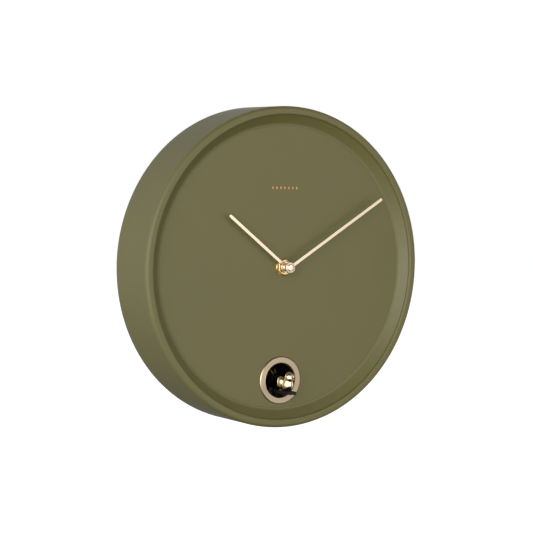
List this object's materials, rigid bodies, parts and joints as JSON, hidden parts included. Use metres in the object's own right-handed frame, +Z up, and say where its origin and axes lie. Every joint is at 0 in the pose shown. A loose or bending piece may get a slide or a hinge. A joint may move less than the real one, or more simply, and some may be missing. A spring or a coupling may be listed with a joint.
{
  "type": "wall clock",
  "caption": "Round deep-drum wall clock with a recessed dial, two slim hands, and a bird on a sliding perch that comes out of a ringed hole.",
  "frame": {"origin": "where the hanging nail meets the wall, at the top of the keyhole slot, in the plane of the drum's rear edge", "axes": "+Z up, +Y into the wall, so the dial faces -Y; the hands' axis runs along Y, 116 mm below the origin"},
  "size_m": [0.3, 0.074, 0.3],
  "materials": {
    "case": "satin",
    "cover": "matt",
    "ring": "brushed champagne",
    "motif": "satin print",
    "hand": "brushed champagne",
    "brass": "polished",
    "gold": "mirror plated",
    "black": "matt",
    "movement": "satin",
    "clear": "gloss",
    "rubber": "matt",
    "nylon": "satin",
    "nylon_red": "satin",
    "steel": "plain",
    "dark_steel": "satin",
    "magnet": "ground",
    "copper": "enamelled",
    "bobbin": "matt",
    "board": "solder resist",
    "paper": "pressed paper",
    "parts": "moulded",
    "cell": "satin",
    "button": "satin",
    "plate": "satin"
  },
  "bodies": {
    "case": {"case_shell": "case", "dial": "case", "back_cover": "cover", "bird_ring": "ring", "dial_motif": "motif", "movement_nut": "brass", "movement_washer": "brass", "movement_gasket": "rubber", "movement_case": "movement", "movement_cover": "clear", "circuit_board": "board", "coil_bobbin": "bobbin", "coil_winding": "copper", "stator": "steel", "movement_contacts": "steel", "movement_battery": "cell", "bird_shroud": "black", "reduction_pin": "steel", "bird_motor": "steel", "motor_cap": "plate", "gearbox_plate": "plate", "module_screws": "steel", "speaker_basket": "dark_steel", "speaker_cone": "paper", "speaker_magnet": "magnet", "speaker_screws": "steel", "control_board": "board", "board_components": "parts", "board_screws": "steel", "switch_housing": "steel", "button_switch": "parts", "test_spring": "steel", "battery_tray": "movement", "battery_contacts": "steel", "cuckoo_batteries": "cell", "hanger_plate": "steel", "back_screws": "steel"},
    "minute_set": {"minute_hand": "hand", "hand_cap": "brass", "minute_arbor": "brass"},
    "hour_set": {"hour_hand": "hand", "hour_wheel": "nylon"},
    "minute_wheel": {"minute_wheel": "nylon", "setting_knob": "movement"},
    "rotor": {"rotor": "magnet"},
    "intermediate_wheel": {"intermediate_wheel": "nylon"},
    "second_wheel": {"second_wheel": "nylon_red"},
    "third_wheel": {"third_wheel": "nylon"},
    "centre_wheel": {"centre_wheel": "nylon"},
    "bird_carriage": {"perch_carriage": "black", "bird": "gold", "bird_screw": "steel"},
    "drive": {"drive_shaft": "steel", "rack_pinion": "nylon", "drive_gear": "nylon"},
    "reduction_gear": {"reduction_gear": "nylon"},
    "motor_pinion": {"motor_pinion": "brass"},
    "volume_slider": {"volume_slider": "black"},
    "test_button": {"test_button": "button"},
    "battery_door": {"battery_door": "cover"}
  },
  "joints": [
    {"name": "minute_turn", "type": "hinge", "parent": "case", "child": "minute_set", "pos_m": [0, -0.05, -0.116], "axis": [0, 1, 0], "continuous": true},
    {"name": "hour_turn", "type": "hinge", "parent": "case", "child": "hour_set", "pos_m": [0, -0.045, -0.116], "axis": [0, 1, 0], "continuous": true},
    {"name": "minute_wheel_turn", "type": "hinge", "parent": "case", "child": "minute_wheel", "pos_m": [0, -0.04, -0.1244], "axis": [0, 1, 0], "continuous": true},
    {"name": "second_wheel_turn", "type": "hinge", "parent": "case", "child": "second_wheel", "pos_m": [-0.01447, -0.036, -0.11585], "axis": [0, 1, 0], "continuous": true},
    {"name": "rotor_turn", "type": "hinge", "parent": "case", "child": "rotor", "pos_m": [-0.00962, -0.036, -0.12645], "axis": [0, 1, 0], "continuous": true},
    {"name": "intermediate_turn", "type": "hinge", "parent": "case", "child": "intermediate_wheel", "pos_m": [-0.01232, -0.036, -0.12177], "axis": [0, 1, 0], "continuous": true},
    {"name": "third_turn", "type": "hinge", "parent": "case", "child": "third_wheel", "pos_m": [-0.00744, -0.036, -0.11329], "axis": [0, 1, 0], "continuous": true},
    {"name": "centre_turn", "type": "hinge", "parent": "case", "child": "centre_wheel", "pos_m": [0, -0.0375, -0.116], "axis": [0, 1, 0], "continuous": true},
    {"name": "bird_slide", "type": "slide", "parent": "case", "child": "bird_carriage", "axis": [0, -1, 0], "range_m": [-0.026, 0]},
    {"name": "drive_turn", "type": "hinge", "parent": "case", "child": "drive", "pos_m": [0, -0.036, -0.23912], "axis": [1, 0, 0], "range_deg": [-311, 0]},
    {"name": "reduction_turn", "type": "hinge", "parent": "case", "child": "reduction_gear", "pos_m": [0.025, -0.0265, -0.23912], "axis": [1, 0, 0], "range_deg": [0, 870]},
    {"name": "motor_turn", "type": "hinge", "parent": "case", "child": "motor_pinion", "pos_m": [0.027, -0.0265, -0.22912], "axis": [1, 0, 0], "range_deg": [-3478, 0]},
    {"name": "volume_slide", "type": "slide", "parent": "case", "child": "volume_slider", "axis": [1, 0, 0], "range_m": [-0.002, 0.002]},
    {"name": "test_press", "type": "slide", "parent": "case", "child": "test_button", "axis": [0, -1, 0], "range_m": [0, 0.0015], "stiffness_N_per_m": 200, "springref_m": -0.0005, "deforming": ["test_spring"]},
    {"name": "battery_door_slide", "type": "slide", "parent": "case", "child": "battery_door", "axis": [1, 0, 0], "range_m": [0, 0.012]}
  ],
  "couplings": [
    {"joint": "hour_turn", "follows": "minute_turn", "ratio": 0.083333},
    {"joint": "minute_wheel_turn", "follows": "minute_turn", "ratio": -0.33333},
    {"joint": "rotor_turn", "follows": "second_wheel_turn", "ratio": 30},
    {"joint": "intermediate_turn", "follows": "second_wheel_turn", "ratio": -6},
    {"joint": "third_turn", "follows": "second_wheel_turn", "ratio": -0.13333},
    {"joint": "centre_turn", "follows": "second_wheel_turn", "ratio": 0.016667},
    {"joint": "drive_turn", "follows": "bird_slide", "rad_per_m": 208.33},
    {"joint": "reduction_turn", "follows": "bird_slide", "rad_per_m": -583.33},
    {"joint": "motor_turn", "follows": "bird_slide", "rad_per_m": 2333.3}
  ]
}
